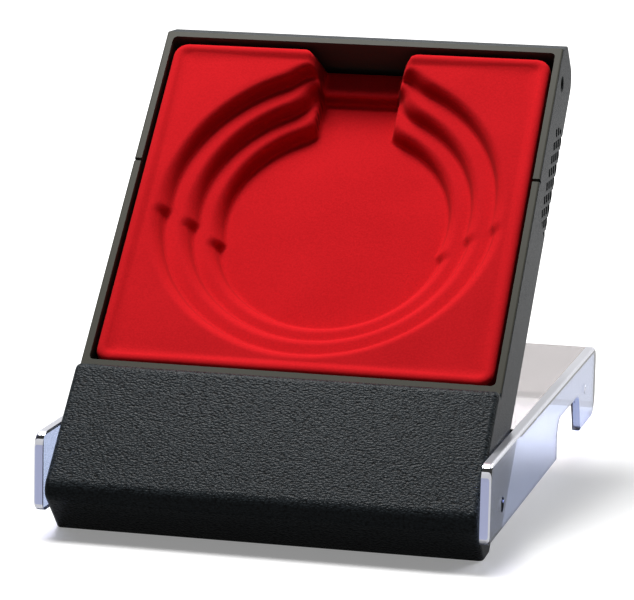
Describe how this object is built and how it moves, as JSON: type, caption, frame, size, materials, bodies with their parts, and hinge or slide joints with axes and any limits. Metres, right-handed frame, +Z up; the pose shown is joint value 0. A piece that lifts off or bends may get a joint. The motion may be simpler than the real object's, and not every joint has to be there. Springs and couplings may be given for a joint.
{
  "type": "medal case",
  "caption": "Flat medal case with a flocked insert and a clear lid that folds right round behind it to prop it up as an easel.",
  "frame": {"origin": "middle of the level foot on the spine's lower front edge, on the table, with the case standing as an easel", "axes": "+X to the right as the viewer sees the medal, +Y to the back along the folded lid, +Z up"},
  "size_m": [0.0864, 0.1233, 0.0844],
  "materials": {
    "black_plastic": "moulded leather grain, smooth on the rim",
    "red_flock": "flocked, velvety",
    "clear_plastic": "clear and polished"
  },
  "bodies": {
    "base": {"base": "black_plastic", "medal_insert": "red_flock"},
    "lid": {"lid": "clear_plastic"}
  },
  "joints": [
    {"name": "lid_hinge", "type": "hinge", "parent": "base", "child": "lid", "pos_m": [0, 0.00311, 0.0094], "axis": [-1, 0, 0], "range_deg": [0, 314.46]}
  ]
}
